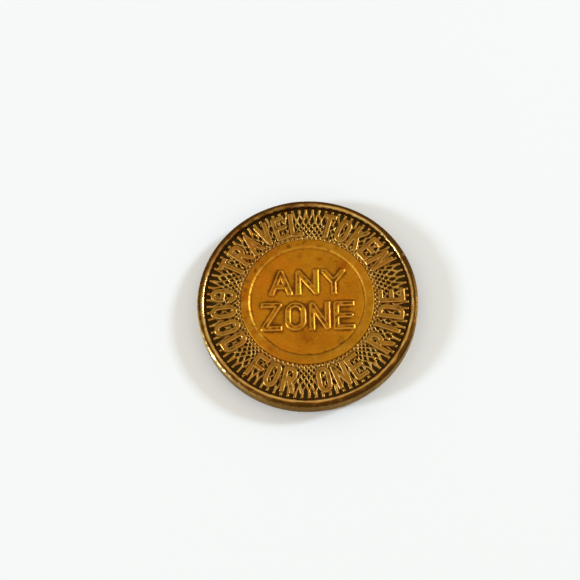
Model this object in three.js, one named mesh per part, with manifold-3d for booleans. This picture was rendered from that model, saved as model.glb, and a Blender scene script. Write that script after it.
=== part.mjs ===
// Transit token: a small one-piece struck brass disc, about the size of a dime, with the same design on both faces.
// From the outside in, each face has a raised rim, a border of crossing ridges under two curved legends,
// a raised inner ring and a plain field with two lines of raised lettering.
//
// Lengths are in millimetres. +Z is up through the front face, +Y is the top of the lettering, and the origin is
// the centre of the circle that the back rim rests on. Heights on a face are measured from the token's middle plane.

import * as THREE from "three";
import { mergeVertices } from "three/addons/utils/BufferGeometryUtils.js";
import Module from "manifold-3d";

const wasm = await Module();
wasm.setup();

// ---------------------------------------------------------------- driving dimensions

const TOKEN_DIAMETER = 16.5;
const TOKEN_THICKNESS = 1.6; // from the back rim's crest to the front rim's crest
const CORE_THICKNESS = 0.6; // plain middle layer, between what is raised on the two faces

// Widths along a radius, from the edge towards the middle. The field takes what is left.
const RIM_WIDTH = 0.6;
const BORDER_WIDTH = 2.63;
const INNER_RING_WIDTH = 0.78;

// Depths below the rim's crest.
const INNER_RING_DEPTH = 0.08;
const LEGEND_DEPTH = 0.08;
const FIELD_DEPTH = 0.14;
const LATTICE_DEPTH = 0.3;

const RIDGE_HEIGHT = 0.12; // of the lattice, above its pits
const FIELD_LETTER_HEIGHT = 0.08; // of the middle lettering, above the field

// The rim's section: a narrow flat crest, a rounded outer shoulder and a short inner slope.
const SHOULDER_RADIUS = 0.34;
const SHOULDER_STEPS = 3;
const CREST_SLOPE = 0.07;
const RING_SLOPE = 0.07; // on both edges of the inner ring

// The lattice: two mirrored families of ridges that start together at the rim and fan apart towards the middle.
const RIDGES_PER_FAMILY = 90;
const LATTICE_ROWS = 7; // rows of crossings, so also how many half pitches a ridge drifts
const LATTICE_BEND = 1.8; // 1 would fan out evenly, and more fans out faster near the middle
const TOOTH_LENGTH = 0.24; // where the two families still run together, against the rim

// The curved legends. A letter is as tall as the border leaves and as wide as its pitch leaves.
const LEGEND_INNER_MARGIN = 0.29;
const LEGEND_OUTER_MARGIN = 0.4;
const LEGEND_STROKE = 0.31;
const LEGEND_LETTER_GAP = 0.06; // between neighbours, at their narrow end
const LEGENDS = [
  { text: "TRAVEL TOKEN", middle: -1.5, pitch: 11.3, topsOutward: true },
  { text: "GOOD FOR ONE RIDE", middle: 181.5, pitch: 11.7, topsOutward: false },
]; // angles in degrees, clockwise from +Y

// The middle lettering, in multiples of its cap height, which is as large as the field and its margin allow.
const FIELD_MARGIN = 0.12;
const FIELD_STROKE = 0.3;
const FIELD_LINES = [
  { text: "ANY", width: 0.8, height: 0.95, pitch: 0.97, middle: 0.73 },
  { text: "ZONE", width: 0.71, height: 1.05, pitch: 0.88, middle: -0.6 },
];

// ---------------------------------------------------------------- values worked out from them

const RADIUS = TOKEN_DIAMETER / 2;
const BORDER_RADIUS = RADIUS - RIM_WIDTH;
const RING_RADIUS = BORDER_RADIUS - BORDER_WIDTH;
const FIELD_RADIUS = RING_RADIUS - INNER_RING_WIDTH;

const CORE_TOP = CORE_THICKNESS / 2;
const CREST = TOKEN_THICKNESS / 2;
const RING_TOP = CREST - INNER_RING_DEPTH;
const LEGEND_TOP = CREST - LEGEND_DEPTH;
const FIELD_TOP = CREST - FIELD_DEPTH;
const PIT_FLOOR = CREST - LATTICE_DEPTH;
const RIDGE_TOP = PIT_FLOOR + RIDGE_HEIGHT;

// Every round piece is turned in the same steps, so that neighbours meet on the same flats. The last row of
// crossings sits half a pitch round when the number of rows is odd, and so do the ring and the field inside it.
const TURN_STEPS = RIDGES_PER_FAMILY;
const PITCH_ANGLE = (2 * Math.PI) / RIDGES_PER_FAMILY;
const INNER_PHASE = LATTICE_ROWS % 2 ? PITCH_ANGLE / 2 : 0;

const MERGE_DISTANCE = 1e-4;

// ---------------------------------------------------------------- materials

const brass = (color, roughness) => new THREE.MeshStandardMaterial({ color, roughness, metalness: 0.9 });

const MATERIALS = {
  edge: () => brass(0x6b4a20, 0.5),
  rim: () => brass(0x99763d, 0.36),
  border: () => brass(0x7d5a21, 0.5),
  ring: () => brass(0xa5690f, 0.4),
  field: () => brass(0xaa6d14, 0.4),
};

// ---------------------------------------------------------------- solids and meshes

function solidFrom(geometry) {
  const loose = geometry.index ? geometry.toNonIndexed() : geometry;
  const bare = new THREE.BufferGeometry().setAttribute("position", loose.getAttribute("position"));
  const merged = mergeVertices(bare, MERGE_DISTANCE);
  return new wasm.Manifold(
    new wasm.Mesh({
      numProp: 3,
      vertProperties: merged.getAttribute("position").array,
      triVerts: new Uint32Array(merged.index.array),
    }),
  );
}

function geometryFrom(solid) {
  const { vertProperties, triVerts } = solid.getMesh();
  const geometry = new THREE.BufferGeometry();
  geometry.setAttribute("position", new THREE.BufferAttribute(vertProperties, 3));
  geometry.setIndex(new THREE.BufferAttribute(triVerts, 1));
  geometry.computeVertexNormals();
  return geometry;
}

function meshOf(name, geometry, material) {
  const mesh = new THREE.Mesh(geometry, material);
  mesh.name = name;
  return mesh;
}

// A solid turned about +Z from a list of [radius, height] corners, listed so that its faces point out.
// LatheGeometry turns about +Y, so the result is tipped up onto +Z.
function turned(profile, phase = 0) {
  const corners = profile.map(([radius, height]) => new THREE.Vector2(radius, height));
  return new THREE.LatheGeometry(corners, TURN_STEPS, phase, 2 * Math.PI).rotateX(Math.PI / 2);
}

// The point at an angle from +Y, clockwise as seen from above the face.
const polar = (radius, angle, height) => [radius * Math.sin(angle), radius * Math.cos(angle), height];

// ---------------------------------------------------------------- the plain round pieces

function flanCoreGeometry() {
  return turned([
    [0, -CORE_TOP],
    [RADIUS, -CORE_TOP],
    [RADIUS, CORE_TOP],
    [0, CORE_TOP],
  ]);
}

function rimGeometry() {
  const shoulder = [];
  for (let step = 0; step <= SHOULDER_STEPS; step += 1) {
    const angle = (step / SHOULDER_STEPS) * (Math.PI / 2);
    shoulder.push([
      RADIUS - SHOULDER_RADIUS * (1 - Math.cos(angle)),
      CREST - SHOULDER_RADIUS * (1 - Math.sin(angle)),
    ]);
  }
  return turned([
    [BORDER_RADIUS, CORE_TOP],
    [RADIUS, CORE_TOP],
    ...shoulder,
    [BORDER_RADIUS + CREST_SLOPE, CREST],
    [BORDER_RADIUS, CREST - CREST_SLOPE],
    [BORDER_RADIUS, CORE_TOP],
  ]);
}

function innerRingGeometry() {
  const section = [
    [FIELD_RADIUS, CORE_TOP],
    [RING_RADIUS, CORE_TOP],
    [RING_RADIUS, RING_TOP - RING_SLOPE],
    [RING_RADIUS - RING_SLOPE, RING_TOP],
    [FIELD_RADIUS + RING_SLOPE, RING_TOP],
    [FIELD_RADIUS, RING_TOP - RING_SLOPE],
    [FIELD_RADIUS, CORE_TOP],
  ];
  return turned(section, INNER_PHASE);
}

// ---------------------------------------------------------------- the lattice

// Row 0 is where the two families part, and the last row lies on the inner ring.
function rowRadius(row) {
  const parting = BORDER_RADIUS - TOOTH_LENGTH;
  return parting - (parting - RING_RADIUS) * (row / LATTICE_ROWS) ** (1 / LATTICE_BEND);
}

// The ridges are sharp, and each pit between four crossings is a hollow pyramid.
function latticeGeometry() {
  const corners = [];
  // A facet's points are listed clockwise as seen from outside, and stored the other way round.
  const facet = (...points) => {
    for (let i = 2; i < points.length; i += 1) corners.push(...points[0], ...points[i], ...points[i - 1]);
  };
  const crossing = (row, angle) => polar(rowRadius(row), angle, RIDGE_TOP);
  const halfway = ([x0, y0], [x1, y1], height) => [(x0 + x1) / 2, (y0 + y1) / 2, height];

  for (let ridge = 0; ridge < RIDGES_PER_FAMILY; ridge += 1) {
    for (let row = 0; row <= LATTICE_ROWS; row += 1) {
      // A row's crossings sit half a pitch from the crossings of the rows beside it, and its pits sit between them.
      const middle = (ridge + (row % 2 ? 0 : 0.5)) * PITCH_ANGLE;
      const left = middle - PITCH_ANGLE / 2;
      const right = middle + PITCH_ANGLE / 2;
      const onRing = row === LATTICE_ROWS;
      const pit = onRing
        ? halfway(crossing(row, left), crossing(row, right), PIT_FLOOR)
        : polar(rowRadius(row), middle, PIT_FLOOR);
      if (row > 0) {
        facet(pit, crossing(row, left), crossing(row - 1, middle));
        facet(pit, crossing(row - 1, middle), crossing(row, right));
      }
      if (!onRing) {
        facet(pit, crossing(row + 1, middle), crossing(row, left));
        facet(pit, crossing(row, right), crossing(row + 1, middle));
      } else {
        const footLeft = polar(RING_RADIUS, left, CORE_TOP);
        const footRight = polar(RING_RADIUS, right, CORE_TOP);
        facet(pit, footLeft, crossing(row, left));
        facet(pit, footRight, footLeft);
        facet(pit, crossing(row, right), footRight);
        const farLeft = polar(BORDER_RADIUS, left + INNER_PHASE, CORE_TOP);
        const farRight = polar(BORDER_RADIUS, right + INNER_PHASE, CORE_TOP);
        facet(footLeft, footRight, farRight, farLeft);
      }
      if (row === 0) {
        const toothLeft = polar(BORDER_RADIUS, left, RIDGE_TOP);
        const toothRight = polar(BORDER_RADIUS, right, RIDGE_TOP);
        const gap = halfway(toothLeft, toothRight, PIT_FLOOR);
        facet(pit, crossing(row, left), toothLeft, gap);
        facet(pit, gap, toothRight, crossing(row, right));
        const farLeft = polar(BORDER_RADIUS, left, CORE_TOP);
        const farRight = polar(BORDER_RADIUS, right, CORE_TOP);
        facet(gap, toothLeft, farLeft);
        facet(gap, farLeft, farRight);
        facet(gap, farRight, toothRight);
      }
    }
  }
  return new THREE.BufferGeometry().setAttribute("position", new THREE.Float32BufferAttribute(corners, 3));
}

// ---------------------------------------------------------------- lettering

// Each letter is a list of strokes, and each stroke runs along its points, from [0, 0] at the letter's lower left
// to [1, 1] at its upper right. A stroke that ends where it starts is a loop.
const GLYPHS = {
  A: [[[0, 0], [0.5, 1]], [[0.5, 1], [1, 0]], [[0.3, 0.3], [0.7, 0.3]]],
  D: [[[0, 0], [0, 1], [0.6, 1], [1, 0.78], [1, 0.22], [0.6, 0], [0, 0]]],
  E: [[[1, 1], [0, 1], [0, 0], [1, 0]], [[0, 0.5], [0.8, 0.5]]],
  F: [[[1, 1], [0, 1], [0, 0]], [[0, 0.5], [0.8, 0.5]]],
  G: [[[0.94, 0.87], [0.7, 1], [0.3, 1], [0, 0.78], [0, 0.22], [0.3, 0], [1, 0], [1, 0.45], [0.6, 0.45]]],
  I: [[[0.5, 0], [0.5, 1]]],
  K: [[[0, 0], [0, 1]], [[0, 0.35], [1, 1]], [[0.35, 0.58], [1, 0]]],
  L: [[[0, 1], [0, 0], [1, 0]]],
  N: [[[0, 0], [0, 1]], [[0, 1], [1, 0]], [[1, 0], [1, 1]]],
  O: [[[0.3, 0], [0, 0.22], [0, 0.78], [0.3, 1], [0.7, 1], [1, 0.78], [1, 0.22], [0.7, 0], [0.3, 0]]],
  R: [[[0, 0], [0, 1]], [[0, 1], [0.7, 1], [1, 0.86], [1, 0.62], [0.7, 0.48], [0, 0.48]], [[0.45, 0.48], [1, 0]]],
  T: [[[0, 1], [1, 1]], [[0.5, 1], [0.5, 0]]],
  V: [[[0, 1], [0.5, 0]], [[0.5, 0], [1, 1]]],
  Y: [[[0, 1], [0.5, 0.48]], [[1, 1], [0.5, 0.48]], [[0.5, 0.48], [0.5, 0]]],
  Z: [[[0, 1], [1, 1]], [[1, 1], [0, 0]], [[0, 0], [1, 0]]],
};

// The outline of a stroke, offset to both sides of its points with mitred bends. Loose ends run on by half a width.
function strokeShape(points, strokeWidth) {
  const half = strokeWidth / 2;
  const isLoop = points.length > 2 && points[0].equals(points.at(-1));
  const along = (from, to) => to.clone().sub(from).normalize();
  const nodes = isLoop ? points.slice(0, -1) : points.map((point) => point.clone());
  const count = nodes.length;
  if (!isLoop) {
    nodes[0].addScaledVector(along(points[0], points[1]), -half);
    nodes[count - 1].addScaledVector(along(points.at(-2), points.at(-1)), half);
  }
  const side = (sign) =>
    nodes.map((node, i) => {
      const before = isLoop || i > 0 ? along(nodes[(i + count - 1) % count], node) : along(node, nodes[i + 1]);
      const after = isLoop || i < count - 1 ? along(node, nodes[(i + 1) % count]) : before;
      const bisector = before.clone().add(after).normalize();
      const reach = half / bisector.dot(before);
      return new THREE.Vector2(node.x - sign * bisector.y * reach, node.y + sign * bisector.x * reach);
    });
  if (!isLoop) return new THREE.Shape([...side(1), ...side(-1).reverse()]);
  const [outer, inner] = THREE.ShapeUtils.area(nodes) > 0 ? [side(-1), side(1)] : [side(1), side(-1)];
  const loop = new THREE.Shape(outer);
  loop.holes.push(new THREE.Path(inner.reverse()));
  return loop;
}

// A letter's solid, centred on the origin, from one height to another, placed by a matrix and cut flat at its box.
function letterSolid(character, width, height, strokeWidth, bottom, top, placement) {
  const toBox = ([x, y]) =>
    new THREE.Vector2((x - 0.5) * (width - strokeWidth), (y - 0.5) * (height - strokeWidth));
  const depth = top - bottom;
  const box = new THREE.BoxGeometry(width, height, 2 * depth).translate(0, 0, (bottom + top) / 2);
  const strokes = GLYPHS[character].map((points) =>
    solidFrom(
      new THREE.ExtrudeGeometry(strokeShape(points.map(toBox), strokeWidth), {
        depth,
        bevelEnabled: false,
      })
        .translate(0, 0, bottom)
        .applyMatrix4(placement),
    ),
  );
  return strokes.reduce((letter, stroke) => letter.add(stroke)).intersect(solidFrom(box.applyMatrix4(placement)));
}

function legendSolids({ text, middle, pitch, topsOutward }) {
  const innerRadius = RING_RADIUS + LEGEND_INNER_MARGIN;
  const outerRadius = BORDER_RADIUS - LEGEND_OUTER_MARGIN;
  const pitchAngle = THREE.MathUtils.degToRad(pitch);
  const width = 2 * innerRadius * Math.tan(pitchAngle / 2) - LEGEND_LETTER_GAP;
  const readingTurn = topsOutward ? 1 : -1;
  return [...text].flatMap((character, i) => {
    if (character === " ") return [];
    const place = (i - (text.length - 1) / 2) * readingTurn;
    const angle = THREE.MathUtils.degToRad(middle) + place * pitchAngle;
    const placement = new THREE.Matrix4()
      .makeRotationZ(-angle)
      .multiply(new THREE.Matrix4().makeTranslation(0, (innerRadius + outerRadius) / 2, 0))
      .multiply(new THREE.Matrix4().makeRotationZ(topsOutward ? 0 : Math.PI));
    const height = outerRadius - innerRadius;
    const root = (CORE_TOP + PIT_FLOOR) / 2;
    return [letterSolid(character, width, height, LEGEND_STROKE, root, LEGEND_TOP, placement)];
  });
}

function fieldLetterSolids() {
  const halfLength = ({ text, pitch, width }) => ((text.length - 1) * pitch + width) / 2;
  const reach = Math.max(
    ...FIELD_LINES.map((line) => Math.hypot(halfLength(line), Math.abs(line.middle) + line.height / 2)),
  );
  const cap = (FIELD_RADIUS - FIELD_MARGIN) / reach;
  const root = (CORE_TOP + FIELD_TOP) / 2;
  return FIELD_LINES.flatMap(({ text, width, height, pitch, middle }) =>
    [...text].map((character, i) => {
      const x = (i - (text.length - 1) / 2) * pitch * cap;
      const placement = new THREE.Matrix4().makeTranslation(x, middle * cap, 0);
      const top = FIELD_TOP + FIELD_LETTER_HEIGHT;
      return letterSolid(character, width * cap, height * cap, FIELD_STROKE, root, top, placement);
    }),
  );
}

// ---------------------------------------------------------------- the border and the field, with their lettering

function borderGeometry() {
  const lattice = solidFrom(latticeGeometry());
  return geometryFrom(LEGENDS.flatMap(legendSolids).reduce((solid, letter) => solid.add(letter), lattice));
}

function fieldGeometry() {
  const section = [
    [0, CORE_TOP],
    [FIELD_RADIUS, CORE_TOP],
    [FIELD_RADIUS, FIELD_TOP],
    [0, FIELD_TOP],
  ];
  const disc = solidFrom(turned(section, INNER_PHASE));
  return geometryFrom(fieldLetterSolids().reduce((solid, letter) => solid.add(letter), disc));
}

// ---------------------------------------------------------------- the token

const faceGeometries = {
  rim: rimGeometry(),
  border: borderGeometry(),
  inner_ring: innerRingGeometry(),
  field: fieldGeometry(),
};

function makeFace(side) {
  const face = new THREE.Group();
  face.add(meshOf(`${side}_rim`, faceGeometries.rim, MATERIALS.rim()));
  face.add(meshOf(`${side}_border`, faceGeometries.border, MATERIALS.border()));
  face.add(meshOf(`${side}_inner_ring`, faceGeometries.inner_ring, MATERIALS.ring()));
  face.add(meshOf(`${side}_field`, faceGeometries.field, MATERIALS.field()));
  return face;
}

const token = new THREE.Group();
token.position.z = CREST;
token.add(meshOf("flan_core", flanCoreGeometry(), MATERIALS.edge()));

const front = makeFace("front");
token.add(front);

// The back is turned over about the lettering's upright, so both faces read upright.
const back = makeFace("back");
back.rotation.y = Math.PI;
token.add(back);

export default token;
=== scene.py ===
"""A worn brass transit token lying on a pale table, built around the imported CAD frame.

Lengths are worked out in millimetres, with heights measured up from the token's middle plane, and every mesh
is turned into metres when it is made. A face is described once, as a height for each point, and is then used
for the front and, turned over about the lettering's upright, for the back. Angles about the token's axis are
counted clockwise from +Y.
"""

import math

import bpy
import numpy as np
from mathutils import Matrix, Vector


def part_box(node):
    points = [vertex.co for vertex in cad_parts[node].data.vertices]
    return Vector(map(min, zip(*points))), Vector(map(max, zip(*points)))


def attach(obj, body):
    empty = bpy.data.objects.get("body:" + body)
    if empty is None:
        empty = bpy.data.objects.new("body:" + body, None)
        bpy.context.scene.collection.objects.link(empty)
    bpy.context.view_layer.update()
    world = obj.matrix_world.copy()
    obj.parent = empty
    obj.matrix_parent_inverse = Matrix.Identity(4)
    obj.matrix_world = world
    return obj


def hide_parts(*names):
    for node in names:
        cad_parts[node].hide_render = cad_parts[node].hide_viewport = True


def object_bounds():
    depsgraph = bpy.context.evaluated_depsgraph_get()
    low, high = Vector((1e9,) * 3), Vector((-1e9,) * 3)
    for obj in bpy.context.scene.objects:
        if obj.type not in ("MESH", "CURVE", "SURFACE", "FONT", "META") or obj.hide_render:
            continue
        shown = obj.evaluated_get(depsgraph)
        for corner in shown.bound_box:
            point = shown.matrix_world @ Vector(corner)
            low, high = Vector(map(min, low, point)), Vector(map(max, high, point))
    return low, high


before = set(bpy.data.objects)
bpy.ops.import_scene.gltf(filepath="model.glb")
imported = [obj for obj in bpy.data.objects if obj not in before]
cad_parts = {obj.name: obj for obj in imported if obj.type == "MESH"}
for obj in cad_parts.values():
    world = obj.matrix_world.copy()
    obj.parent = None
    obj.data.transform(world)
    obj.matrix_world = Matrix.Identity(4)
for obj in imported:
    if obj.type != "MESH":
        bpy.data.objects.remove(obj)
CAD_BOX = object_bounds()

MM = 0.001
FRONT, BACK = "front", "back"

# ---------------------------------------------------------------- sizes taken from the frame

MIDDLE = (CAD_BOX[0].z + CAD_BOX[1].z) / 2 / MM


def outer_radius(node):
    """A round node's radius. Its polygon has a corner on the X or on the Y axis."""
    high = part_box(node)[1]
    return max(high.x, high.y) / MM


def top_of(node):
    """The height of a node's highest point above the token's middle plane."""
    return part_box(node)[1].z / MM - MIDDLE


RADIUS = outer_radius("front_rim")
BORDER_RADIUS = outer_radius("front_border")
RING_RADIUS = outer_radius("front_inner_ring")
FIELD_RADIUS = outer_radius("front_field")
CORE_TOP = top_of("flan_core")
CREST = top_of("front_rim")
RING_TOP = top_of("front_inner_ring")
LEGEND_TOP = top_of("front_border")
FIELD_LETTER_TOP = top_of("front_field")

# ---------------------------------------------------------------- sizes of the relief

# These are the CAD model's own, but for the ridges, which are 0.01 mm higher here before they are worn.
FIELD_LETTER_HEIGHT = 0.08
LATTICE_DEPTH = 0.3
RIDGE_HEIGHT = 0.13
FIELD_TOP = FIELD_LETTER_TOP - FIELD_LETTER_HEIGHT
PIT_FLOOR = CREST - LATTICE_DEPTH
RIDGE_TOP = PIT_FLOOR + RIDGE_HEIGHT

RIDGES_PER_FAMILY = 90
LATTICE_ROWS = 7
LATTICE_BEND = 1.8
TOOTH_LENGTH = 0.24
PITCH = 2 * math.pi / RIDGES_PER_FAMILY

# The rim's section. Its crest is rounded, where the CAD model has a narrow flat.
INNER_WALL_LEAN = 0.04
CREST_FALL = 0.10  # from the top of the crest to the head of the inner wall
SHOULDER_WIDTH = 0.39
SHOULDER_DROP = 0.30
SHOULDER_POWER = 0.8  # 1 is a quarter of an ellipse, and less is squarer

LEGEND_INNER_MARGIN = 0.29
LEGEND_OUTER_MARGIN = 0.4
LEGEND_INNER_RADIUS = RING_RADIUS + LEGEND_INNER_MARGIN
LEGEND_OUTER_RADIUS = BORDER_RADIUS - LEGEND_OUTER_MARGIN
LEGEND_STROKE = 0.31
LEGEND_LETTER_GAP = 0.06
LEGEND_FLANK = 0.10  # the width of a letter's sloping side
# text, middle of the legend and pitch of its letters in degrees, and whether the tops point out
LEGENDS = [
    ("TRAVEL TOKEN", -1.5, 11.3, True),
    ("GOOD FOR ONE RIDE", 181.5, 11.7, False),
]

FIELD_MARGIN = 0.12
FIELD_STROKE = 0.3
FIELD_FLANK = 0.11
# text, and the letters' width, height, pitch and middle in cap heights
FIELD_LINES = [
    ("ANY", 0.8, 0.95, 0.97, 0.73),
    ("ZONE", 0.71, 1.05, 0.88, -0.6),
]

# ---------------------------------------------------------------- camera


def make_camera():
    """The camera looks down at the middle of the front face, from a little right of its lower side."""
    elevation, heading, roll = math.radians(68.6), math.radians(3.3), math.radians(4.6)
    distance = 0.09
    view_width = 0.04313
    data = bpy.data.cameras.new("camera")
    data.sensor_width = 36.0
    data.lens = data.sensor_width * distance / view_width
    data.shift_x = -0.0299
    data.shift_y = 0.0171
    data.clip_start = 0.01
    data.clip_end = 10.0
    camera = bpy.data.objects.new("camera", data)
    turn = Matrix.Rotation(heading, 4, "Z") @ Matrix.Rotation(math.pi / 2 - elevation, 4, "X")
    turn = turn @ Matrix.Rotation(-roll, 4, "Z")
    face = Matrix.Translation((0, 0, 2 * CREST * MM))
    camera.matrix_world = face @ turn @ Matrix.Translation((0, 0, distance))
    bpy.context.collection.objects.link(camera)
    bpy.context.scene.camera = camera


make_camera()

# ---------------------------------------------------------------- small tools

WAVES_IN_RIPPLES = 28


def smooth_step(low, high, value):
    """0 below low, 1 above high, and an S-curve between. low may be the larger one."""
    share = np.clip((value - low) / (high - low), 0.0, 1.0)
    return share * share * (3 - 2 * share)


def close_to(value, middle, spread):
    """1 where value is middle, falling to almost 0 at two spreads from it."""
    return np.exp(-(((value - middle) / spread) ** 2))


def arc(angle, middle, spread):
    """1 at the middle of an arc of the token and 0 away from it. Both are in degrees."""
    away = (np.degrees(angle) - middle + 180) % 360 - 180
    return close_to(away, 0, spread)


def ripples(x, y, seed, wavelength):
    """Smooth unevenness of about -1 to 1, with features near a wavelength across."""
    random = np.random.default_rng(seed)
    total = np.zeros_like(x)
    for _ in range(WAVES_IN_RIPPLES):
        direction = random.uniform(0, 2 * math.pi)
        length = wavelength * random.uniform(0.6, 1.8)
        phase = random.uniform(0, 2 * math.pi)
        along = (x * math.cos(direction) + y * math.sin(direction)) * (2 * math.pi / length)
        total += np.sin(along + phase)
    return total / math.sqrt(WAVES_IN_RIPPLES)


def polar(radius, angle):
    """The x and y of points given by radius and angle."""
    return radius * np.sin(angle), radius * np.cos(angle)


# ---------------------------------------------------------------- lettering

BEND_POINTS = 7


def bend(centre_x, centre_y, radius_x, radius_y, start, end):
    """Points along part of an ellipse, with its angles in degrees, counter-clockwise from the right."""
    angles = np.radians(np.linspace(start, end, BEND_POINTS))
    return [(centre_x + radius_x * math.cos(a), centre_y + radius_y * math.sin(a)) for a in angles]


def round_loop(radius_x, radius_y):
    """A closed stroke round the letter's box, with four round corners."""
    right, top = 1 - radius_x, 1 - radius_y
    corners = [(right, top), (radius_x, top), (radius_x, radius_y), (right, radius_y)]
    loop = []
    for quarter, corner in enumerate(corners):
        loop += bend(*corner, radius_x, radius_y, 90 * quarter, 90 * (quarter + 1))
    return loop + loop[:1]


# Each letter is a list of strokes, from (0, 0) at its lower left to (1, 1) at its upper right.
GLYPHS = {
    "A": [[(0, 0), (0.5, 1), (1, 0)], [(0.3, 0.3), (0.7, 0.3)]],
    "D": [
        [(0, 0), (0, 1)]
        + bend(0.5, 0.72, 0.5, 0.28, 90, 0)
        + bend(0.5, 0.28, 0.5, 0.28, 0, -90)
        + [(0, 0)],
    ],
    "E": [[(1, 1), (0, 1), (0, 0), (1, 0)], [(0, 0.5), (0.8, 0.5)]],
    "F": [[(1, 1), (0, 1), (0, 0)], [(0, 0.5), (0.8, 0.5)]],
    "G": [
        bend(0.5, 0.72, 0.5, 0.28, 35, 180)
        + bend(0.5, 0.28, 0.5, 0.28, 180, 360)
        + [(1, 0.45), (0.6, 0.45)],
    ],
    "I": [[(0.5, 0), (0.5, 1)]],
    "K": [[(0, 0), (0, 1)], [(0, 0.35), (1, 1)], [(0.35, 0.58), (1, 0)]],
    "L": [[(0, 1), (0, 0), (1, 0)]],
    "N": [[(0, 0), (0, 1), (1, 0), (1, 1)]],
    "O": [round_loop(0.5, 0.3)],
    "R": [[(0, 0), (0, 1)] + bend(0.6, 0.74, 0.4, 0.26, 90, -90) + [(0, 0.48)], [(0.5, 0.48), (1, 0)]],
    "T": [[(0, 1), (1, 1)], [(0.5, 1), (0.5, 0)]],
    "V": [[(0, 1), (0.5, 0), (1, 1)]],
    "Y": [[(0, 1), (0.5, 0.48), (1, 1)], [(0.5, 0.48), (0.5, 0)]],
    "Z": [[(0, 1), (1, 1), (0, 0), (1, 0)]],
}

SAME_POINT = 1e-6
LETTER_SURROUND = 0.5  # how far outside the letters depths are worked out


def depth_in_letter(x, y, character, width, height, stroke):
    """How far each point is inside a letter centred on the origin. It is negative outside."""
    nearest = np.full_like(x, np.inf)
    half = stroke / 2
    for points in GLYPHS[character]:
        line = (np.array(points) - 0.5) * (width - stroke, height - stroke)
        if not np.allclose(line[0], line[-1]):  # loose ends reach half a stroke further, to be square
            line[0] += (line[0] - line[1]) / np.linalg.norm(line[0] - line[1]) * half
            line[-1] += (line[-1] - line[-2]) / np.linalg.norm(line[-1] - line[-2]) * half
        for (x0, y0), (x1, y1) in zip(line[:-1], line[1:]):
            dx, dy = x1 - x0, y1 - y0
            if math.hypot(dx, dy) < SAME_POINT:
                continue
            along = np.clip(((x - x0) * dx + (y - y0) * dy) / (dx * dx + dy * dy), 0, 1)
            nearest = np.minimum(nearest, np.hypot(x - x0 - along * dx, y - y0 - along * dy))
    in_box = np.minimum(width / 2 - np.abs(x), height / 2 - np.abs(y))
    return np.minimum(half - nearest, in_box)


def letter_places():
    """Every letter of a face: character, middle x and y, turn to its own axes, width, height and stroke."""
    places = []
    for text, middle, pitch, tops_out in LEGENDS:
        pitch = math.radians(pitch)
        width = 2 * LEGEND_INNER_RADIUS * math.tan(pitch / 2) - LEGEND_LETTER_GAP
        height = LEGEND_OUTER_RADIUS - LEGEND_INNER_RADIUS
        radius = (LEGEND_INNER_RADIUS + LEGEND_OUTER_RADIUS) / 2
        for i, character in enumerate(text):
            angle = math.radians(middle) + (i - (len(text) - 1) / 2) * pitch * (1 if tops_out else -1)
            turn = angle if tops_out else angle + math.pi
            places.append((character, polar(radius, angle), turn, width, height, LEGEND_STROKE))
    reach = max(
        math.hypot(((len(text) - 1) * pitch + width) / 2, abs(middle) + height / 2)
        for text, width, height, pitch, middle in FIELD_LINES
    )
    cap = (FIELD_RADIUS - FIELD_MARGIN) / reach
    for text, width, height, pitch, middle in FIELD_LINES:
        for i, character in enumerate(text):
            centre = ((i - (len(text) - 1) / 2) * pitch * cap, middle * cap)
            places.append((character, centre, 0.0, width * cap, height * cap, FIELD_STROKE))
    return [place for place in places if place[0] != " "]


def depth_in_lettering(x, y):
    """How far each point of a face is inside the nearest letter, and negative outside, down to a limit."""
    depth = np.full_like(x, -LETTER_SURROUND)
    for character, (centre_x, centre_y), turn, width, height, stroke in letter_places():
        reach = math.hypot(width, height) / 2 + LETTER_SURROUND
        near = np.hypot(x - centre_x, y - centre_y) < reach
        from_x, from_y = x[near] - centre_x, y[near] - centre_y
        letter_x = from_x * math.cos(turn) - from_y * math.sin(turn)
        letter_y = from_x * math.sin(turn) + from_y * math.cos(turn)
        found = depth_in_letter(letter_x, letter_y, character, width, height, stroke)
        depth[near] = np.maximum(depth[near], found)
    return depth


# ---------------------------------------------------------------- knocks, stains and worn arcs

# x and y in shares of the radius, the knock's size and its depth in millimetres
KNOCKS = [
    (0.885, 0.405, 0.20, 0.07),
    (0.86, 0.46, 0.14, 0.03),
    (-0.62, -0.745, 0.16, 0.03),
    (-0.955, 0.06, 0.10, 0.02),
    (0.30, -0.915, 0.10, 0.025),
    (0.12, 0.965, 0.14, 0.03),
    (-0.47, -0.285, 0.10, 0.02),
    (-0.335, -0.44, 0.10, 0.02),
    (0.50, -0.18, 0.05, -0.03),
    (0.455, 0.02, 0.05, 0.02),
]
# x and y in shares of the radius, size in millimetres, and strength
STAINS = [
    (0.122, 0.404, 0.22, 0.9),
    (0.335, 0.335, 0.42, 0.8),
    (-0.012, -0.354, 1.1, 0.60),
    (0.14, -0.36, 0.8, 0.5),
    (-0.473, -0.285, 0.26, 0.8),
    (-0.338, -0.442, 0.26, 0.8),
    (-0.42, 0.38, 0.6, 0.4),
    (-0.30, 0.49, 0.5, 0.4),
    (-0.555, 0.05, 0.35, 0.5),
    (0.02, 0.56, 0.6, 0.3),
    (0.895, 0.405, 0.34, 1.0),
]

# Arcs of the rim with their own wear, tarnish, painted shade and painted glint: middle and spread in degrees
BEVELLED_ARC = 240, 30
BARE_GLINT_CORNER_ARC = 95, 16
TARNISHED_ARC = 328, 38
DARK_SHOULDER_ARC = 60, 70
DARK_SLOPE_ARC = 56, 16
# The shoulder's tarnish and painted shade reach further in here: how much further, then middle and spread
WIDE_SHOULDER_ARCS = [(0.10, 62, 26), (0.05, 318, 40)]

# The bevel at BEVELLED_ARC: where it starts from the edge, how low, and its slope
BEVEL_WIDTH = 0.15
BEVEL_START_DROP = 0.046
BEVEL_SLOPE = 0.78


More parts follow.
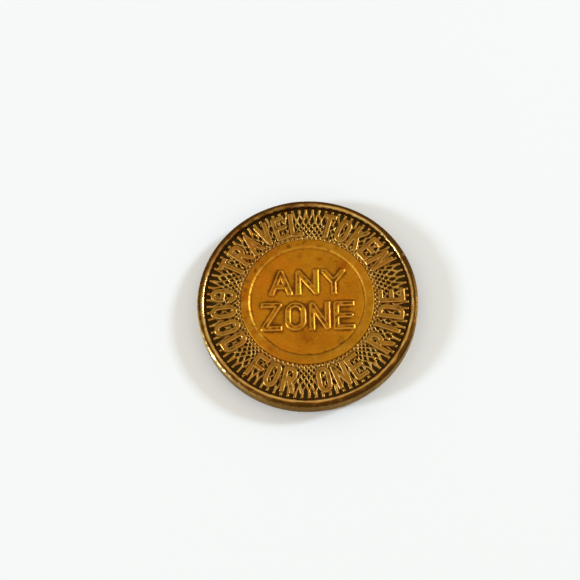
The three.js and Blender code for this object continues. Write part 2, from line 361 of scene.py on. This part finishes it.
def spots(x, y, table):
    """For each row of a table, its last value in the middle of the spot and less away from it."""
    for share_x, share_y, size, amount in table:
        away = np.hypot(x - share_x * RADIUS, y - share_y * RADIUS)
        yield amount * close_to(away, 0, size)


def knock_depth(x, y):
    """How far the knocks push each point down. A negative knock stands up."""
    return sum(spots(x, y, KNOCKS))


def stain_strength(x, y):
    return np.maximum.reduce(list(spots(x, y, STAINS)))


# ---------------------------------------------------------------- the face's relief


def lattice_height(x, y):
    """The two families of ridges, as a share of their height. They run together at the rim."""
    radius, angle = np.hypot(x, y), np.arctan2(x, y)
    parting = BORDER_RADIUS - TOOTH_LENGTH
    inward = np.clip((parting - radius) / (parting - RING_RADIUS), 0.0, None)
    drift = LATTICE_ROWS / 2 * inward**LATTICE_BEND
    empty = np.ones_like(radius)
    for lean in (1, -1):
        wander = 0.10 * ripples(x, y, 14 + lean, 1.1) * smooth_step(0.0, 0.15, inward)
        ridge = 0.5 + 0.5 * np.cos(2 * math.pi * (angle / PITCH + lean * drift + wander))
        worn = np.clip(0.86 + 0.16 * ripples(x, y, 17 + lean, 0.8), 0.5, 1.0)
        empty *= 1 - worn * smooth_step(0.36, 0.96, ridge)
    return 1 - empty


def border_height(x, y):
    """The lattice, lower beside the letters, the rim and the ring, with the legends standing out of it."""
    radius = np.hypot(x, y)
    depth = depth_in_lettering(x, y)
    near_letter = smooth_step(-0.16, -0.04, depth)
    near_rim = smooth_step(BORDER_RADIUS - 0.13, BORDER_RADIUS - 0.05, radius)
    near_ring = smooth_step(RING_RADIUS + 0.55, RING_RADIUS, radius)
    lattice = lattice_height(x, y) * (1 - 0.35 * near_letter) * (1 - 0.85 * near_rim)
    ground = PIT_FLOOR + 0.05 * near_ring + 0.008 * ripples(x, y, 11, 1.6)
    ground += (RIDGE_TOP - PIT_FLOOR) * lattice * (1 - 0.35 * near_ring)
    rounded = 0.02 * (1 - smooth_step(0.0, 0.09, depth))
    uneven = 0.006 * (1 + ripples(x, y, 12, 0.9))
    dished = 0.012 * smooth_step(0.05, 0.13, depth)
    top = LEGEND_TOP - rounded - uneven - dished
    lift = smooth_step(-LEGEND_FLANK, 0.0, depth)
    height = np.maximum(ground, PIT_FLOOR + (top - PIT_FLOOR) * lift)
    return height - knock_depth(x, y)


def ring_height(x, y):
    """A slightly crowned ring, with a foot towards the field and another towards the lattice."""
    radius = np.hypot(x, y)
    middle = (FIELD_RADIUS + RING_RADIUS) / 2
    inner = smooth_step(FIELD_RADIUS - 0.02, FIELD_RADIUS + 0.22, radius)
    outer = smooth_step(RING_RADIUS + 0.04, RING_RADIUS - 0.07, radius)
    low = np.where(radius < middle, FIELD_TOP - 0.015, PIT_FLOOR + 0.06)
    height = low + (RING_TOP - low) * inner * outer
    crown = 0.012 * (1 - ((radius - FIELD_RADIUS) / (RING_RADIUS - FIELD_RADIUS) * 2 - 1) ** 2)
    height += crown - 0.014 - 0.004 * ripples(x, y, 21, 0.7) - 0.0022 * ripples(x, y, 22, 0.2)
    return height - knock_depth(x, y)


def field_height(x, y):
    """The plain middle, with a groove round it and its letters pressed up out of slight hollows."""
    radius = np.hypot(x, y)
    depth = depth_in_lettering(x, y)
    groove = 0.014 * close_to(radius, FIELD_RADIUS - 0.03, 0.06)
    field = FIELD_TOP + 0.006 * ripples(x, y, 31, 2.2) + 0.0015 * ripples(x, y, 32, 0.22) - groove
    rounded = 0.012 * (1 - smooth_step(0.0, FIELD_STROKE / 2, depth))
    dished = 0.022 * smooth_step(0.05, 0.13, depth)
    uneven = 0.004 + 0.006 * (1 + ripples(x, y, 33, 0.6))
    top = FIELD_LETTER_TOP - rounded - dished - uneven
    lift = smooth_step(-FIELD_FLANK, 0.02, depth)
    sunk = 0.012 * smooth_step(-0.25, -0.08, depth) * (1 - lift)
    height = field - sunk + (top - field) * lift
    return height - knock_depth(x, y)


# ---------------------------------------------------------------- meshes

POINTS_PER_RIDGE = 16
ANGLE_STEPS = RIDGES_PER_FAMILY * POINTS_PER_RIDGE
ANGLES = np.arange(ANGLE_STEPS) / ANGLE_STEPS * 2 * math.pi
BORDER_ROWS = 64
RING_ROWS = 26
WALL_ROWS = 13
FIELD_CELLS = 250
FIELD_HOLLOW_REACH = 11
SHARP_ANGLE = math.radians(78)


def make_piece(name, x, y, z, faces, marks, replaced, slot):
    """A closed mesh of quads and triangles in metres, that stands for a CAD node and rides with it."""
    mesh = bpy.data.meshes.new(name)
    points = np.stack([x, y, z + MIDDLE], axis=-1).reshape(-1, 3) * MM
    mesh.from_pydata(points.tolist(), [], faces)
    mesh.update()
    for mark, values in marks.items():
        attribute = mesh.attributes.new(mark, "FLOAT", "POINT")
        attribute.data.foreach_set("value", np.clip(values, 0, 1).astype(np.float32).ravel())
    mesh.shade_smooth()
    mesh.set_sharp_from_angle(angle=SHARP_ANGLE)
    piece = bpy.data.objects.new(name, mesh)
    bpy.context.collection.objects.link(piece)
    mesh.materials.append(MATERIALS[slot])
    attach(piece, "root")
    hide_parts(replaced)


def quads(index):
    """The faces between the points of a grid, from the grid of the points' numbers."""
    corners = [index[:-1, :-1], index[:-1, 1:], index[1:, 1:], index[1:, :-1]]
    return np.stack(corners, axis=-1).reshape(-1, 4).tolist()


def hoop_faces(rows, columns):
    """Quads of a closed hoop: every row and every column goes all the way round."""
    index = np.arange(rows * columns).reshape(rows, columns)
    return quads(np.pad(index, (0, 1), "wrap"))


def turned_over(x, z, side):
    """The back face is the front one turned over about the lettering's upright."""
    return (x, z) if side == FRONT else (-x, -z)


def hollow(height, reach):
    """How much lower each point of a grid is than the mean of those up to reach steps away from it.

    Past the grid's ends the first and last rows go on, and the columns start again from the other side.
    """
    mean = height
    window = 2 * reach + 1
    for axis, past_the_end in enumerate(("edge", "wrap")):
        room = [(0, 0), (0, 0)]
        room[axis] = (reach, reach)
        total = np.insert(np.cumsum(np.pad(mean, room, past_the_end), axis), 0, 0.0, axis)
        size = height.shape[axis]
        mean = (total.take(range(window, window + size), axis) - total.take(range(size), axis)) / window
    return mean - height


def make_band(side, feature, radii, height_of, marks_of, slot):
    """A ring of the face between two radii: its relief on top, plain walls and a plain underside."""
    radius, angle = np.meshgrid(radii, ANGLES, indexing="ij")
    x, y = polar(radius, angle)
    z = height_of(x, y)
    marks = marks_of(x, y, z)
    under = [-1, 0]  # below the outermost and then below the innermost row
    x, y = np.concatenate([x, x[under]]), np.concatenate([y, y[under]])
    z = np.concatenate([z, np.full((2, ANGLE_STEPS), CORE_TOP)])
    marks = {mark: np.concatenate([values, values[under]]) for mark, values in marks.items()}
    faces = hoop_faces(*x.shape)
    x, z = turned_over(x, z, side)
    make_piece(f"{side}_{feature}_relief", x, y, z, faces, marks, f"{side}_{feature}", slot)


def border_marks(x, y, z):
    """Dirt in the pits, at the letters' feet and on their tops, and bright metal on ridges and edges."""
    radius = np.hypot(x, y)
    depth = depth_in_lettering(x, y)
    outside = smooth_step(-0.02, -0.08, depth)
    near_ring = smooth_step(RING_RADIUS + 0.6, RING_RADIUS, radius)
    near_rim = smooth_step(BORDER_RADIUS - 0.45, BORDER_RADIUS - 0.25, radius)
    pits = smooth_step(RIDGE_TOP - 0.03, PIT_FLOOR + 0.03, z) * (1 - 0.6 * near_ring)
    feet = close_to(depth, -LEGEND_FLANK, 0.05)
    dulled = smooth_step(0.03, 0.10, depth) * np.clip(0.2 + 0.5 * ripples(x, y, 20, 0.6), 0, 1)
    ridges = smooth_step(RIDGE_TOP - 0.05, RIDGE_TOP - 0.005, z) * outside
    ridges *= (0.55 - 0.2 * near_rim) * (1 + 0.4 * ripples(x, y, 19, 0.7))
    edges = close_to(depth, 0.015, 0.03)
    return {
        "patina": np.maximum(np.maximum(pits, 0.5 * feet) * outside, 0.6 * dulled),
        "rub": np.maximum(ridges, 0.8 * edges),
        "stain": stain_strength(x, y),
    }


def ring_marks(x, y, z):
    """Dirt along both feet and in patches, most of them at upper left, and a bright inner edge."""
    radius, angle = np.hypot(x, y), np.arctan2(x, y)
    inner_foot = smooth_step(FIELD_RADIUS + 0.06, FIELD_RADIUS - 0.01, radius)
    outer_foot = smooth_step(RING_RADIUS - 0.04, RING_RADIUS, radius)
    mottled = np.clip(0.25 + 0.5 * ripples(x, y, 23, 0.55), 0, 1)
    mottled *= 0.35 + 0.65 * np.clip(-np.sin(angle - 0.9), 0, 1)
    edge = close_to(radius, FIELD_RADIUS + 0.12, 0.06)
    return {
        "patina": np.maximum(np.maximum(0.42 * inner_foot, 0.45 * outer_foot), 0.75 * mottled),
        "rub": 0.8 * edge + 0.25 * np.clip(ripples(x, y, 24, 1.2), 0, 1),
        "stain": stain_strength(x, y),
    }


def field_marks(x, y, z):
    """Dirt round the field, between the letters, in clouds and on the letters' tops, and bright edges."""
    depth = depth_in_lettering(x, y)
    foot = smooth_step(FIELD_RADIUS - 0.12, FIELD_RADIUS - 0.01, np.hypot(x, y))
    foot *= 0.6 + 0.4 * ripples(x, y, 36, 1.5)
    between = np.clip(hollow(z, FIELD_HOLLOW_REACH) / 0.03, 0, 1) * smooth_step(0.0, -0.08, depth)
    clouds = np.clip(ripples(x, y, 34, 1.5), 0, 2)
    dulled = smooth_step(0.03, 0.10, depth) * np.clip(0.5 + 0.5 * ripples(x, y, 35, 0.6), 0, 1)
    edges = close_to(depth, 0.01, 0.035)
    return {
        "patina": 0.42 * foot + 0.85 * between + 0.22 * clouds + 0.85 * dulled,
        "rub": 0.55 * edges,
        "stain": stain_strength(x, y),
    }


def make_field(side):
    """A disc of quads, from a square grid eased out to a circle, over a plain wall and underside."""
    along = np.linspace(-1, 1, FIELD_CELLS + 1)
    across, up = np.meshgrid(along, along, indexing="xy")
    x = across * np.sqrt(1 - up * up / 2) * FIELD_RADIUS
    y = up * np.sqrt(1 - across * across / 2) * FIELD_RADIUS
    z = field_height(x, y)
    marks = field_marks(x, y, z)

    index = np.arange(x.size).reshape(x.shape)
    edge = np.concatenate([index[0, :-1], index[:-1, -1], index[-1, :0:-1], index[:0:-1, 0]])
    foot = index.size + np.arange(edge.size)
    hub = index.size + edge.size
    next_edge, next_foot = np.roll(edge, -1), np.roll(foot, -1)
    wall = np.stack([edge, foot, next_foot, next_edge], axis=-1)
    underside = np.stack([foot, np.full_like(foot, hub), next_foot], axis=-1)
    faces = quads(index) + wall.tolist() + underside.tolist()

    def with_foot(values):
        """A value for every point: the grid's, the edge's again for the wall's foot, and 0 for the hub."""
        return np.concatenate([values.ravel(), values.ravel()[edge], [0]])

    z = np.concatenate([z.ravel(), np.full(edge.size + 1, CORE_TOP)])
    x, y = with_foot(x), with_foot(y)
    marks = {mark: with_foot(values) for mark, values in marks.items()}
    x, z = turned_over(x, z, side)
    make_piece(f"{side}_field_relief", x, y, z, faces, marks, f"{side}_field", "brass_field")


def rim_section():
    """The rim's section as radius and height, from its inner foot over the crest and down the wall."""
    wall_head = BORDER_RADIUS + INNER_WALL_LEAN
    wall_rise = CREST - CREST_FALL - PIT_FLOOR
    crest = RADIUS - SHOULDER_WIDTH
    points = [(BORDER_RADIUS, CORE_TOP), (BORDER_RADIUS, PIT_FLOOR)]
    for share in np.linspace(0.2, 1, 5):
        points.append((BORDER_RADIUS + INNER_WALL_LEAN * share, PIT_FLOOR + wall_rise * share))
    for share in np.linspace(0, 1, 9)[1:]:
        rise = math.sin(share * math.pi / 2)
        points.append((wall_head + (crest - wall_head) * share, CREST - CREST_FALL * (1 - rise)))
    for angle in np.linspace(0, math.pi / 2, 19)[1:]:
        out = math.sin(angle) ** SHOULDER_POWER
        down = max(math.cos(angle), 0) ** SHOULDER_POWER
        points.append((crest + SHOULDER_WIDTH * out, CREST - SHOULDER_DROP * (1 - down)))
    points += [(RADIUS, z) for z in np.linspace(CREST - SHOULDER_DROP, CORE_TOP, 5)[1:]]
    return np.array(points)


def wall_inset(angle):
    """How far the outer wall is worn in at each angle, by ripples with their x and y changed over."""
    y, x = polar(RADIUS, angle)
    return np.clip(0.006 + 0.004 * ripples(x, y, 41, 6.0), 0, None)


def wall_marks(x, y):
    """The marks of the outer wall, the same in every piece that shows some of it."""
    return {
        "patina": 0.80 + 0.07 * ripples(x, y, 51, 3.0),
        "rub": np.zeros_like(x),
        "stain": np.clip(0.3 * ripples(x, y, 53, 2.5), 0, 1),
    }


def rim_shape():
    """Radius, angle and height of the rim's points: toothed inside, worn in, bevelled and knocked."""
    section = rim_section()
    radius, angle = np.meshgrid(section[:, 0], ANGLES, indexing="ij")
    height = np.repeat(section[:, 1:], ANGLE_STEPS, axis=1)
    x, y = polar(radius, angle)
    above_pits = height > PIT_FLOOR + 0.01
    on_inside = smooth_step(BORDER_RADIUS + 0.12, BORDER_RADIUS + 0.02, radius) * above_pits
    teeth = 0.5 - 0.5 * np.cos(angle / PITCH * 2 * math.pi)
    radius = radius + on_inside * (0.022 * teeth + 0.008 * (1 + ripples(x, y, 47, 0.9)))
    radius = radius - smooth_step(RADIUS - 0.3, RADIUS, radius) * wall_inset(angle)

    x, y = polar(radius, angle)
    bevel_start = RADIUS - BEVEL_WIDTH - 0.01 * ripples(x, y, 56, 0.8)
    bevel = CREST - BEVEL_START_DROP - BEVEL_SLOPE * (radius - bevel_start)
    height = height + arc(angle, *BEVELLED_ARC) * (np.minimum(height, bevel) - height)
    upper = smooth_step(CORE_TOP, CREST - 0.1, height)
    uneven = 0.005 * (1 + ripples(x, y, 44, 2.2)) + 0.003 * (1 + ripples(x, y, 45, 0.6))
    height = height - upper * (np.clip(uneven, 0, None) + knock_depth(x, y))
    return radius, angle, height


def rim_marks(radius, angle, height):
    """A bright crest, a dark inner line, a shoulder darkened by tarnish and by painted shade, a patch of
    painted shade on the inner slope at upper right, tarnish at upper left, and two worn corners of clean
    metal that are also a painted highlight where the lamps glint.
    """
    x, y = polar(radius, angle)
    tarnished = arc(angle, *TARNISHED_ARC)
    patches = np.clip(0.15 + 0.5 * ripples(x, y, 48, 1.6), 0, 1)
    wider = 0.03 * ripples(x, y, 50, 1.3)
    for width, middle, spread in WIDE_SHOULDER_ARCS:
        wider = wider + width * arc(angle, middle, spread)
    shoulder = smooth_step(RADIUS - 0.38, RADIUS - 0.25, radius + wider)
    inner_line = smooth_step(BORDER_RADIUS + 0.05, BORDER_RADIUS + 0.01, radius)
    # Painted shade: a darker patch on the inner slope at upper right, which dims the left lamp's glint
    # there.
    inner_slope = smooth_step(BORDER_RADIUS + 0.24, BORDER_RADIUS + 0.14, radius)
    inner_slope = arc(angle, *DARK_SLOPE_ARC) * inner_slope
    crest = close_to(radius, RADIUS - 0.46, 0.09)
    # Clean worn metal at two corners, kept to the arcs where the lamps glint: wear and painted highlight.
    left_corner = arc(angle, *BEVELLED_ARC) * smooth_step(RADIUS - 0.15, RADIUS - 0.10, radius)
    right_corner = arc(angle, *BARE_GLINT_CORNER_ARC) * smooth_step(RADIUS - 0.13, RADIUS - 0.07, radius)
    bare_and_glint = np.maximum(left_corner, 0.8 * right_corner)
    bare_and_glint = bare_and_glint * smooth_step(CREST - 0.3, CREST - 0.24, height)

    # The dark shoulder is tarnish, and painted shade that stands in for the dim horizon the shoulder
    # reflects.
    dark_shoulder = 0.80 + 0.2 * np.maximum(patches, arc(angle, *DARK_SHOULDER_ARC))
    patina = np.maximum(inner_line, dark_shoulder * shoulder)
    patina = np.maximum(patina, 0.55 * inner_slope)
    patina = np.maximum(patina, tarnished * (0.62 + 0.25 * ripples(x, y, 54, 0.8)))
    rub = crest * (0.7 + 0.3 * ripples(x, y, 49, 1.0)) * (1 - 0.8 * tarnished)
    stain = np.maximum(0.8 * patches * shoulder, 0.65 * tarnished * (1 + ripples(x, y, 55, 2.0)))
    stain = np.maximum(stain, stain_strength(x, y))
    # The first mark holds painted shade as well as tarnish and grime, the second painted glint as well as
    # wear.
    marks = {"patina": patina * (1 - bare_and_glint), "rub": np.maximum(rub, bare_and_glint), "stain": stain * (1 - bare_and_glint)}

    on_wall = smooth_step(CREST - 0.22, CREST - 0.32, height)
    wall = wall_marks(x, y)
    return {mark: values + (wall[mark] - values) * on_wall for mark, values in marks.items()}


def make_rim(side):
    radius, angle, height = rim_shape()
    marks = rim_marks(radius, angle, height)
    x, y = polar(radius, angle)
    faces = hoop_faces(*x.shape)
    x, z = turned_over(x, height, side)
    make_piece(f"{side}_rim_relief", x, y, z, faces, marks, f"{side}_rim", "brass_rim")


def make_edge():
    """The plain middle of the outer wall, closed above and below where the faces' pieces meet it."""
    heights = np.linspace(-CORE_TOP, CORE_TOP, WALL_ROWS)
    z, angle = np.meshgrid(heights, ANGLES, indexing="ij")
    x, y = polar(RADIUS - wall_inset(angle), angle)
    index = np.pad(np.arange(x.size).reshape(x.shape), ((0, 0), (0, 1)), "wrap")
    low_hub, high_hub = x.size, x.size + 1
    around_low, around_high = index[0].tolist(), index[-1].tolist()
    low = [(here, following, low_hub) for here, following in zip(around_low, around_low[1:])]
    high = [(following, here, high_hub) for here, following in zip(around_high, around_high[1:])]
    faces = quads(index.T) + low + high
    marks = {mark: np.append(values.ravel(), [0, 0]) for mark, values in wall_marks(x, y).items()}
    x, y = np.append(x.ravel(), [0, 0]), np.append(y.ravel(), [0, 0])
    z = np.append(z.ravel(), [-CORE_TOP, CORE_TOP])
    make_piece("edge_wall", x, y, z, faces, marks, "flan_core", "brass_edge")


# ---------------------------------------------------------------- materials


def srgb(red, green, blue):
    """A colour given as 0 to 255, as the linear colour that shaders take."""
    channels = [c / 255 for c in (red, green, blue)]
    linear = [c / 12.92 if c <= 0.04045 else ((c + 0.055) / 1.055) ** 2.4 for c in channels]
    return (*linear, 1.0)


def shade(colour, factor):
    """A colour made darker or lighter."""
    return (*(factor * c for c in colour[:3]), 1.0)


class Nodes:
    """Short ways to add shader nodes to one material or world."""

    def __init__(self, owner):
        self.tree = owner.node_tree

    def add(self, kind, **settings):
        node = self.tree.nodes.new(kind)
        for key, value in settings.items():
            setattr(node, key, value)
        return node

    def link(self, source, target):
        self.tree.links.new(source, target)

    def set(self, socket, value):
        if isinstance(value, bpy.types.NodeSocket):
            self.link(value, socket)
        else:
            socket.default_value = value

    def attribute(self, name):
        return self.add("ShaderNodeAttribute", attribute_name=name).outputs["Fac"]

    def noise(self, size, detail, offset, roughness=0.6, stretch=(1.0, 1.0, 1.0)):
        """Noise with features of about size millimetres, from 0 to 1."""
        mapping = self.add("ShaderNodeMapping")
        mapping.inputs["Location"].default_value = (offset, offset, offset)
        mapping.inputs["Scale"].default_value = stretch
        self.link(self.add("ShaderNodeTexCoord").outputs["Object"], mapping.inputs["Vector"])
        noise = self.add("ShaderNodeTexNoise")
        noise.inputs["Scale"].default_value = 1 / (size * MM)
        noise.inputs["Detail"].default_value = detail
        noise.inputs["Roughness"].default_value = roughness
        self.link(mapping.outputs["Vector"], noise.inputs["Vector"])
        return noise.outputs["Fac"]

    def ramp(self, value, low, high, to_low=0.0, to_high=1.0):
        """value from low to high becomes to_low to to_high, and stays there outside."""
        node = self.add("ShaderNodeMapRange", clamp=True)
        limits = {"From Min": low, "From Max": high, "To Min": to_low, "To Max": to_high}
        for name, number in limits.items():
            node.inputs[name].default_value = number
        self.link(value, node.inputs["Value"])
        return node.outputs["Result"]

    def math(self, operation, a, b):
        node = self.add("ShaderNodeMath", operation=operation)
        self.set(node.inputs[0], a)
        self.set(node.inputs[1], b)
        return node.outputs[0]

    def mix(self, share, a, b):
        node = self.add("ShaderNodeMix", data_type="RGBA")
        self.set(node.inputs["Factor"], share)
        self.set(node.inputs["A"], a)
        self.set(node.inputs["B"], b)
        return node.outputs["Result"]


SPECULAR_TINT = (1.0, 0.74, 0.36, 1.0)
BUMP_HEIGHT = 0.012


def brass_colour(n, rubbed_and_glint, dirt_and_shade, speck, body, deep, bright, red, mottle):
    """The body colour in warm and dark clouds, specks and grit, under wear with painted glint, stains, and
    grime with painted shade.
    """
    warm = (1.04 * body[0], 0.68 * body[1], 0.5 * body[2], 1.0)
    warmth = n.ramp(n.noise(3.2, detail=3.0, offset=8.1), 0.42, 0.60, 0.0, 0.75)
    cloud = n.ramp(n.noise(1.2, detail=5.0, roughness=0.65, offset=0.3), 0.36, 0.66)
    grit = n.ramp(n.noise(0.07, detail=3.0, roughness=0.7, offset=1.7), 0.55, 0.72)
    colour = n.mix(n.math("MULTIPLY", warmth, mottle), body, warm)
    colour = n.mix(n.math("MULTIPLY", cloud, 0.75 * mottle), colour, shade(body, 0.60))
    colour = n.mix(n.math("MULTIPLY", speck, 0.5 * mottle), colour, shade(body, 1.35))
    colour = n.mix(n.math("MULTIPLY", grit, 0.4 * mottle), colour, shade(body, 0.45))
    # Worn metal, and a painted highlight at the rim's two corners where the lamps glint.
    colour = n.mix(rubbed_and_glint, colour, bright)
    broken = n.ramp(n.noise(0.3, detail=4.0, offset=2.3), 0.3, 0.65, 0.3, 1.0)
    colour = n.mix(n.math("MULTIPLY", n.attribute("stain"), broken), colour, red)
    # Grime, and painted shade on the rim's shoulder and inner slope.
    return n.mix(dirt_and_shade, colour, deep)


def brass_bump(n, grain):
    """Fine pitting, and scratches along two directions."""
    pitting = n.noise(0.09, detail=4.0, roughness=0.75, offset=4.0)
    upright = n.ramp(n.noise(0.05, detail=2.0, stretch=(1.0, 0.04, 1.0), offset=5.0), 0.62, 0.75)
    level = n.ramp(n.noise(0.05, detail=2.0, stretch=(0.05, 1.0, 1.0), offset=6.0), 0.64, 0.78)
    scratches = n.math("MULTIPLY", n.math("ADD", upright, level), 0.35)
    bump = n.add("ShaderNodeBump")
    bump.inputs["Strength"].default_value = grain
    bump.inputs["Distance"].default_value = BUMP_HEIGHT * MM
    n.link(n.math("SUBTRACT", pitting, scratches), bump.inputs["Height"])
    return bump.outputs["Normal"]


def make_brass(name, body, deep, bright, red, roughness, dirt_and_shade_roughness, mottle, grain):
    """Worn brass: dark and rougher under the grime and painted shade mark, bright and smoother under the
    wear and painted glint mark.
    """
    material = bpy.data.materials.new(name)
    material.use_nodes = True
    n = Nodes(material)
    shader = n.tree.nodes["Principled BSDF"]
    streaks = n.ramp(n.noise(0.45, detail=4.0, offset=1.1), 0.3, 0.6, 0.45, 1.0)
    rubbed_and_glint = n.math("MULTIPLY", n.attribute("rub"), streaks)
    ragged = n.ramp(n.noise(0.35, detail=5.0, offset=3.1), 0.3, 0.7, -0.18, 0.18)
    dirt_and_shade = n.ramp(n.math("ADD", n.attribute("patina"), ragged), 0.22, 0.85)
    speck = n.ramp(n.noise(0.17, detail=5.0, roughness=0.7, offset=0.7), 0.38, 0.68)
    colour = brass_colour(n, rubbed_and_glint, dirt_and_shade, speck, body, deep, bright, red, mottle)
    n.link(colour, shader.inputs["Base Color"])

    rough = n.ramp(dirt_and_shade, 0.0, 1.0, roughness, dirt_and_shade_roughness)
    rough = n.math("ADD", rough, n.ramp(speck, 0.0, 1.0, -0.05, 0.09))
    n.link(n.math("SUBTRACT", rough, n.math("MULTIPLY", rubbed_and_glint, 0.08)), shader.inputs["Roughness"])
    n.link(n.ramp(dirt_and_shade, 0.0, 1.0, 1.0, 0.75), shader.inputs["Metallic"])
    shader.inputs["Specular IOR Level"].default_value = 0.2
    shader.inputs["Specular Tint"].default_value = SPECULAR_TINT
    n.link(brass_bump(n, grain), shader.inputs["Normal"])
    return material


RED = srgb(112, 48, 14)
ORANGE = srgb(148, 62, 8)
# Body, grime and painted shade, worn metal and painted glint, and stain colours, roughness clean and under
# the grime and shade, and how mottled and how grainy it is
PALE = (srgb(184, 136, 58), srgb(82, 50, 12), srgb(244, 212, 140), RED, 0.20, 0.30, 0.6, 0.15)
DULL = (srgb(162, 114, 38), srgb(54, 37, 9), srgb(208, 170, 96), RED, 0.34, 0.5, 0.9, 0.45)
RICH = (srgb(180, 120, 24), srgb(104, 58, 8), srgb(218, 160, 56), ORANGE, 0.43, 0.52, 0.8, 0.45)
DEEP = (srgb(188, 124, 24), srgb(104, 56, 8), srgb(236, 186, 84), ORANGE, 0.38, 0.52, 0.9, 0.45)
LOOKS = {
    "brass_edge": PALE,
    "brass_rim": PALE,
    "brass_border": DULL,
    "brass_ring": RICH,
    "brass_field": DEEP,
}
MATERIALS = {slot: make_brass(slot, *look) for slot, look in LOOKS.items()}

# ---------------------------------------------------------------- table, light and view

TABLE_HALF_WIDTH = 1.5
LIGHT_DISTANCE = 0.6
LIGHT_SIZE = 0.10
LIGHT_COLOUR = (0.82, 1.0, 1.22)
SKY_COLOUR = (1.0, 0.91, 0.74, 1.0)
HORIZON_STRENGTH, ZENITH_STRENGTH = 0.12, 0.95


def make_floor():
    material = bpy.data.materials.new("floor")
    material.use_nodes = True
    shader = material.node_tree.nodes["Principled BSDF"]
    shader.inputs["Base Color"].default_value = (0.86, 0.86, 0.85, 1.0)
    shader.inputs["Roughness"].default_value = 0.8
    shader.inputs["Specular IOR Level"].default_value = 0.2
    mesh = bpy.data.meshes.new("floor")
    half = TABLE_HALF_WIDTH
    corners = [(-half, -half, 0), (half, -half, 0), (half, half, 0), (-half, half, 0)]
    mesh.from_pydata(corners, [], [(0, 1, 2, 3)])
    mesh.materials.append(material)
    floor = bpy.data.objects.new("floor", mesh)
    bpy.context.collection.objects.link(floor)


def make_light(name, azimuth, elevation, power):
    """A square soft light that faces the token, with its angles in degrees."""
    a, e = math.radians(azimuth), math.radians(elevation)
    data = bpy.data.lights.new(name, "AREA")
    data.size = LIGHT_SIZE
    data.energy = power
    data.color = LIGHT_COLOUR
    light = bpy.data.objects.new(name, data)
    x, y = polar(LIGHT_DISTANCE * math.cos(e), a)
    light.location = (x, y, LIGHT_DISTANCE * math.sin(e))
    light.rotation_euler = (math.pi / 2 - e, 0.0, math.pi - a)
    bpy.context.collection.objects.link(light)


def make_sky():
    """An even room: bright overhead and dimmer towards the horizon."""
    world = bpy.data.worlds.new("world")
    bpy.context.scene.world = world
    world.use_nodes = True
    n = Nodes(world)
    upward = n.add("ShaderNodeSeparateXYZ")
    n.link(n.add("ShaderNodeTexCoord").outputs["Generated"], upward.inputs["Vector"])
    strength = n.ramp(upward.outputs["Z"], 0.0, 1.0, HORIZON_STRENGTH, ZENITH_STRENGTH)
    background = n.tree.nodes["Background"]
    background.inputs["Color"].default_value = SKY_COLOUR
    n.link(strength, background.inputs["Strength"])


BORDER_RADII = np.linspace(RING_RADIUS, BORDER_RADIUS, BORDER_ROWS)
RING_RADII = np.linspace(FIELD_RADIUS, RING_RADIUS, RING_ROWS)
for side in (FRONT, BACK):
    make_rim(side)
    make_band(side, "border", BORDER_RADII, border_height, border_marks, "brass_border")
    make_band(side, "inner_ring", RING_RADII, ring_height, ring_marks, "brass_ring")
    make_field(side)
make_edge()
make_floor()
make_sky()
make_light("right_light", 67.8, 33, 1.7)
make_light("left_light", 259.2, 25.5, 1.9)
bpy.context.scene.view_settings.view_transform = "Standard"
